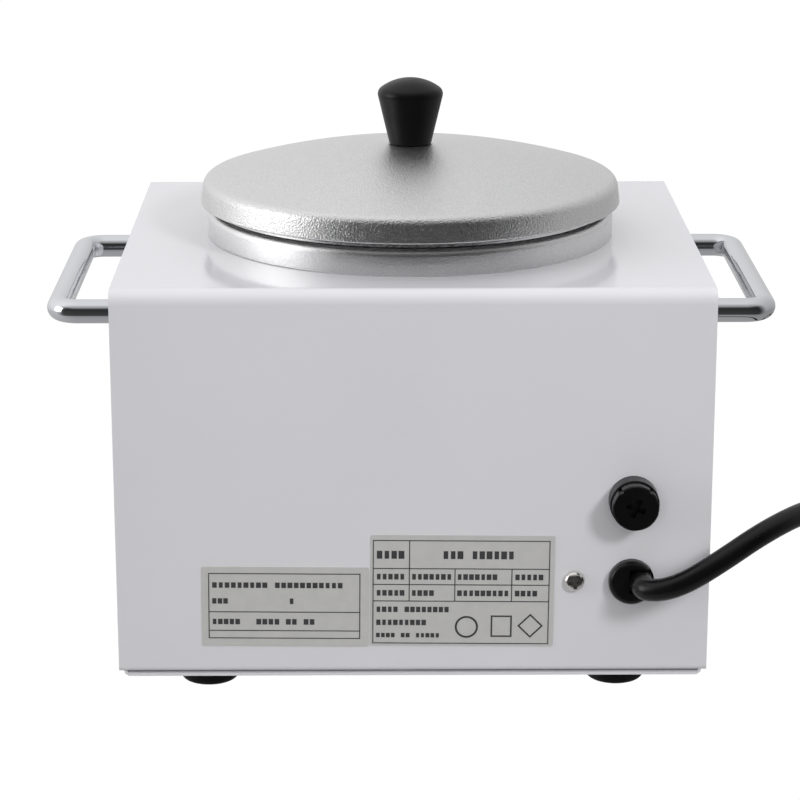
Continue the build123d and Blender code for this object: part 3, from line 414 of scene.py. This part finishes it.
dome_run = LID_SHOULDER_R - DOME_END - LID_FLAT_R
radii = [LID_FLAT_R + dome_run * count / DOME_POINTS for count in range(DOME_POINTS + 1)]
lid_section = [(LID_HOLE_R, LID_TOP, 0)]
lid_section += [(*dome(radius), 0) for radius in radii]
lid_section += [
    (*dome(LID_SHOULDER_R), LID_BEND),
    (LID_R, LID_EDGE, LID_HEM),
    (LID_R - LID_WALL, LID_EDGE, LID_HEM),
    (*dome(LID_SHOULDER_R - LID_WALL, LID_WALL), LID_INNER_BEND),
]
lid_section += [(*dome(radius, LID_WALL), 0) for radius in reversed(radii)]
lid_section.append((LID_HOLE_R, LID_TOP - LID_WALL, 0))
fine_lid = lathe("fine_lid", rounded(lid_section))
fine_lid.data.materials.append(finishes["aluminium_lid"])
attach(fine_lid, "lid")
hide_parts("lid")

well_section = [
    (AXIS_R, WELL_FLOOR, 0),
    (WELL_R, WELL_FLOOR, WELL_BEND),
    (WELL_R, COLLAR_TOP, WELL_RIM),
    (COLLAR_R, COLLAR_TOP, COLLAR_BEND),
    (COLLAR_R, TOP_Z, COLLAR_FOOT),
    (COLLAR_R - WELL_WALL, TOP_Z, 0),
    (COLLAR_R - WELL_WALL, COLLAR_TOP - WELL_WALL, COLLAR_BEND - WELL_WALL),
    (WELL_R + WELL_WALL, COLLAR_TOP - WELL_WALL, 0),
    (WELL_R + WELL_WALL, WELL_FLOOR - WELL_WALL, WELL_BEND + WELL_WALL),
    (AXIS_R, WELL_FLOOR - WELL_WALL, 0),
]
fine_well = lathe("fine_well", rounded(well_section))
fine_well.data.materials.append(finishes["aluminium_well"])
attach(fine_well, "case")
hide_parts("heating_well")

for side, node in ((-1, "right_handle"), (1, "left_handle")):
    rod_path = rounded([
        (side * PANEL_X, CENTRE_Y - HANDLE_HALF, 0),
        (side * GRIP_X, CENTRE_Y - HANDLE_HALF, HANDLE_BEND),
        (side * GRIP_X, CENTRE_Y + HANDLE_HALF, HANDLE_BEND),
        (side * PANEL_X, CENTRE_Y + HANDLE_HALF, 0),
    ], 24)
    rod = bpy.data.curves.new(f"fine_{node}", "CURVE")
    rod.dimensions = "3D"
    rod_line = rod.splines.new("POLY")
    rod_line.points.add(len(rod_path) - 1)
    for point, place in zip(rod_line.points, rod_path):
        point.co = (place.x * MM, place.y * MM, HANDLE_Z * MM, 1)
    rod.bevel_depth = HANDLE_ROD_R * MM
    rod.bevel_resolution = 14
    rod.use_fill_caps = True
    rod.materials.append(finishes["chrome"])
    fine_handle = collection_add(bpy.data.objects.new(f"fine_{node}", rod))
    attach(fine_handle, "case")
    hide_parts(node)

# ======== prints ========

chance = random.Random(7)


def print_face(origin, right, up):
    """A matrix whose x and y run along a printed face, and whose z leaves it."""
    right, up = Vector(right).normalized(), Vector(up).normalized()
    axes = Matrix((right, up, right.cross(up))).transposed().to_4x4()
    return Matrix.Scale(MM, 4) @ Matrix.Translation(origin) @ axes


def bar(bm, face, x, y, width, height, turn=0.0):
    """One flat printed bar, centred at x, y of the face."""
    spin = Matrix.Rotation(radians(turn), 4, "Z")
    place = face @ Matrix.Translation((x, y, PRINT_LIFT)) @ spin
    corners = ((-1, -1), (1, -1), (1, 1), (-1, 1))
    bm.faces.new([bm.verts.new(place @ Vector((i * width / 2, j * height / 2, 0))) for i, j in corners])


def outline(bm, face, x, y, width, height, line, turn=0.0):
    """A rectangle drawn with a line of that width."""
    spin = Matrix.Translation((x, y, 0)) @ Matrix.Rotation(radians(turn), 4, "Z")
    for side in (-1, 1):
        bar(bm, face @ spin, side * width / 2, 0, line, height + line)
        bar(bm, face @ spin, 0, side * height / 2, width - line, line)


def ring(bm, face, x, y, radius, line, segments=40):
    """A printed circle."""
    rims = []
    for rim in (radius - line / 2, radius + line / 2):
        angles = [2 * pi * count / segments for count in range(segments)]
        rims.append([
            bm.verts.new(face @ Vector((x + rim * cos(angle), y + rim * sin(angle), PRINT_LIFT)))
            for angle in angles
        ])
    inner, outer = rims
    for count in range(segments):
        after = (count + 1) % segments
        bm.faces.new((inner[count], outer[count], outer[after], inner[after]))


def word(bm, face, x, y, letters, pitch, height):
    """A word as plain blocks, one for each letter, starting at x."""
    for count in range(letters):
        wide = pitch * chance.choice(LETTER_WIDTHS)
        bar(bm, face, x + (count + 0.5) * pitch, y, wide, LETTER_HEIGHT * height)


tilt = radians(STICKER_TURN)
label_right, label_up = (-cos(tilt), 0, -sin(tilt)), (-sin(tilt), 0, cos(tilt))
ink = bmesh.new()

# rating sticker: a heading, two ruled rows of four words, three lines below them, and three symbols
rating = print_face(RATING_AT, label_right, label_up)
outline(ink, rating, RATING_X, -0.5, RATING_WIDTH, RATING_HEIGHT, HAIR)
for y in RATING_RULES:
    bar(ink, rating, RATING_X, y, RATING_WIDTH, HAIR)
bar(ink, rating, -17.9, 7.0, HAIR, 21.5)
for x in (-2.5, 16.7):
    bar(ink, rating, x, 2.1, HAIR, 11.6)
for x, letters in ((RATING_LEFT, 4), (-6.9, 3), (2.9, 6)):
    word(ink, rating, x, 12.8, letters, pitch=2.45, height=3.6)
for y, row in ((5.0, (5, 7, 7, 5)), (-0.8, (5, 4, 9, 4))):
    for x, letters in zip(RATING_COLUMNS, row):
        word(ink, rating, x, y, letters, pitch=1.98, height=2.6)
lower_lines = (
    (-6.7, (4, 8), 1.92, 2.5),
    (-11.4, (9,), 1.92, 2.5),
    (-16.0, (4, 2, 5), 1.68, 2.0),
)
for y, row, pitch, height in lower_lines:
    x = RATING_LEFT
    for letters in row:
        word(ink, rating, x, y, letters, pitch, height)
        x += (letters + 1) * pitch
ring(ink, rating, 1.6, -12.9, radius=3.6, line=0.7)
outline(ink, rating, 13.4, -12.6, 6.6, 7.2, line=0.55)
outline(ink, rating, 23.2, -12.4, 5.6, 5.6, line=0.55, turn=45)

# inspection sticker: a ruled box with three lines of words
inspection = print_face(INSPECTION_AT, label_right, label_up)
outline(ink, inspection, INSPECTION_X, 0.25, INSPECTION_WIDTH, INSPECTION_HEIGHT, HAIR)
for y in INSPECTION_RULES:
    bar(ink, inspection, INSPECTION_X, y, INSPECTION_WIDTH, HAIR)
inspection_words = (
    (INSPECTION_LEFT, 7.7, 9, 2.12, 2.5),
    (-3.7, 7.7, 11, 2.12, 2.5),
    (INSPECTION_LEFT, 2.0, 3, 1.9, 2.5),
    (1.2, 2.0, 1, 1.9, 2.6),
    (INSPECTION_LEFT, -5.4, 5, 1.95, 2.5),
    (-10.0, -5.4, 4, 2.05, 2.6),
    (0.0, -5.4, 2, 2.05, 2.6),
    (6.0, -5.4, 2, 2.05, 2.6),
)
for x, y, letters, pitch, height in inspection_words:
    word(ink, inspection, x, y, letters, pitch, height)

label_print = mesh_object("label_print", ink)
label_print.data.materials.append(finishes["ink_black"])
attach(label_print, "case")

# the dial's scale runs clockwise from the top, over the knob's three quarters of a turn
dial_ink = bmesh.new()
dial_face = print_face(DIAL_AT, (1, 0, 0), (0, 0, 1))
ring(dial_ink, dial_face, 0, 0, DIAL_RING_R, line=0.3, segments=96)
for count in range(DIAL_TICKS):
    turn = -count * DIAL_STEP / 2
    around = radians(90 + turn)
    at_number = count % 2 == 0
    tick, at = (LONG_TICK, LONG_TICK_R) if at_number else (SHORT_TICK, SHORT_TICK_R)
    bar(dial_ink, dial_face, at * cos(around), at * sin(around), TICK_WIDTH, tick, turn)
for number in range(DIAL_NUMBERS):
    text = bpy.data.curves.new(f"dial_number_{number}", "FONT")
    text.body = str(number)
    text.size = DIGIT_SIZE
    text.align_x = "CENTER"
    text.align_y = "CENTER"
    holder = bpy.data.objects.new(text.name, text)
    collection_add(holder)
    bpy.context.view_layer.update()
    digit = bpy.data.meshes.new_from_object(holder.evaluated_get(bpy.context.evaluated_depsgraph_get()))
    around = radians(90 - number * DIAL_STEP)
    place = Matrix.Translation((DIAL_NUMBER_R * cos(around), DIAL_NUMBER_R * sin(around), PRINT_LIFT))
    digit.transform(dial_face @ place)
    dial_ink.from_mesh(digit)
    bpy.data.objects.remove(holder)
dial_print = mesh_object("dial_print", dial_ink)
dial_print.data.materials.append(finishes["black_plastic"])
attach(dial_print, "case")

# a bar for on and a ring for off, on the rocker's two slopes
tipped = radians(ROCKER_TIP)
rocker_up = Vector((0, -sin(tipped), cos(tipped)))
rocker_out = Vector((0, -cos(tipped), -sin(tipped)))
marks = bmesh.new()
for side in (-1, 1):
    slope = (rocker_up * ROCKER_RUN + rocker_out * side).normalized()
    spot = ROCKER_AT + rocker_up * MARK_UP * side + rocker_out * (ROCKER_MIDDLE + MARK_UP / ROCKER_RUN)
    mark_face = print_face(spot, (1, 0, 0), slope)
    if side > 0:
        bar(marks, mark_face, 0, 0, width=0.7, height=3.4)
    else:
        ring(marks, mark_face, 0, 0, radius=1.5, line=0.6)
rocker_print = mesh_object("rocker_print", marks)
rocker_print.data.materials.append(finishes["pointer_white"])
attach(rocker_print, "rocker")

# ======== camera, backdrop and light ========

camera_data = bpy.data.cameras.new("camera")
camera_data.lens = CAMERA_LENS
camera_data.sensor_width = CAMERA_SENSOR
camera = collection_add(bpy.data.objects.new("camera", camera_data))
camera.location = CAMERA_AT
camera.rotation_euler = (CAMERA_AIM - CAMERA_AT).to_track_quat("-Z", "Y").to_euler()
bpy.context.scene.camera = camera

# a plain white table top and wall, which light nothing themselves
backdrop_mesh = bmesh.new()
bmesh.ops.create_circle(backdrop_mesh, cap_ends=True, segments=96, radius=BACKDROP_R)
wall = bmesh.ops.extrude_edge_only(backdrop_mesh, edges=[e for e in backdrop_mesh.edges if e.is_boundary])
for vert in wall["geom"]:
    if isinstance(vert, bmesh.types.BMVert):
        vert.co.z = BACKDROP_TOP
backdrop = mesh_object("backdrop", backdrop_mesh)
white = Shader("backdrop", (0, 0, 0), 1.0, Specular_IOR_Level=0.0)
white.surface.inputs["Emission Color"].default_value = (1, 1, 1, 1)
white.surface.inputs["Emission Strength"].default_value = BACKDROP_GLOW
backdrop.data.materials.append(white.material)
backdrop.visible_diffuse = False
backdrop.visible_glossy = False
backdrop.visible_transmission = False
backdrop.visible_shadow = False


def softbox(name, place, aim, size, power):
    """A rectangular area light."""
    data = bpy.data.lights.new(name, "AREA")
    data.shape = "RECTANGLE"
    data.size, data.size_y = size
    data.energy = power
    light = collection_add(bpy.data.objects.new(name, data))
    light.location = place
    light.rotation_euler = (Vector(aim) - Vector(place)).to_track_quat("-Z", "Y").to_euler()
    return light


# the key and the fill stay out of reflections, so that bright metal mirrors the room
softbox("key", (-0.95, 1.35, 1.05), (0, 0.05, 0.08), (0.34, 0.34), 12).visible_glossy = False
softbox("left_strip", (1.5, 0.35, 0.45), (0, 0, 0.12), (0.8, 0.9), 6)
softbox("fill", (0.2, 3.2, 0.9), (0, 0, 0.08), (3.0, 2.2), 31).visible_glossy = False


class Sky:
    """The studio round the object, as a colour for each direction."""

    def __init__(self, name):
        self.world = bpy.data.worlds.new(name)
        self.world.use_nodes = True
        self.nodes = self.world.node_tree.nodes
        self.links = self.world.node_tree.links
        direction = self.nodes.new("ShaderNodeTexCoord").outputs["Generated"]
        split = self.nodes.new("ShaderNodeSeparateXYZ")
        self.links.new(direction, split.inputs[0])
        self.x, self.y, self.z = split.outputs

    def span(self, source, start, end, low, high, smooth=True):
        """A number that runs from low to high as the source runs from start to end."""
        span = self.nodes.new("ShaderNodeMapRange")
        span.interpolation_type = "SMOOTHSTEP" if smooth else "LINEAR"
        for socket, value in (("From Min", start), ("From Max", end), ("To Min", low), ("To Max", high)):
            span.inputs[socket].default_value = value
        self.links.new(source, span.inputs["Value"])
        return span.outputs["Result"]

    def heights(self, stops):
        """Brightness by height, from (direction's z, brightness) pairs."""
        ramp = self.nodes.new("ShaderNodeValToRGB")
        ramp.color_ramp.interpolation = "EASE"
        elements = ramp.color_ramp.elements
        while len(elements) < len(stops):
            elements.new(0.5)
        for element, (height, light) in zip(elements, stops):
            element.position = (height + 1) / 2
            element.color = (light, light, light * 1.01, 1)
        self.links.new(self.span(self.z, -1, 1, 0, 1, smooth=False), ramp.inputs["Fac"])
        return ramp.outputs["Color"]

    def mix(self, factor, first, second, blend="MIX"):
        """A blend of two colours, through a Mix node's own colour sockets."""
        mix = self.nodes.new("ShaderNodeMix")
        mix.data_type = "RGBA"
        mix.blend_type = blend
        for socket, source in ((0, factor), (6, first), (7, second)):
            if isinstance(source, float):
                mix.inputs[socket].default_value = source
            else:
                self.links.new(source, mix.inputs[socket])
        return mix.outputs[2]

    def finish(self, color, strength):
        """Light the scene with the colour."""
        background = self.nodes["Background"]
        self.links.new(color, background.inputs["Color"])
        background.inputs["Strength"].default_value = strength
        bpy.context.scene.world = self.world


# white overhead and at the sides, and a dark room beyond the lights in front of the rear panel
sky = Sky("studio")
behind = sky.heights([(-1, 0.40), (-0.3, 0.46), (0.0, 0.66), (0.3, 0.76), (1, 0.86)])
ahead = sky.heights([(-1, 0.40), (-0.62, 0.34), (-0.44, 0.055), (0.5, 0.035), (0.86, 0.5), (1, 0.86)])
room = sky.mix(sky.span(sky.y, 0.05, 0.6, 0, 1), behind, ahead)
sides = sky.span(sky.x, -1, 1, 0.74, 1.46, smooth=False)
sky.finish(sky.mix(1.0, room, sides, "MULTIPLY"), 1.0)
bpy.context.scene.view_settings.view_transform = "Standard"
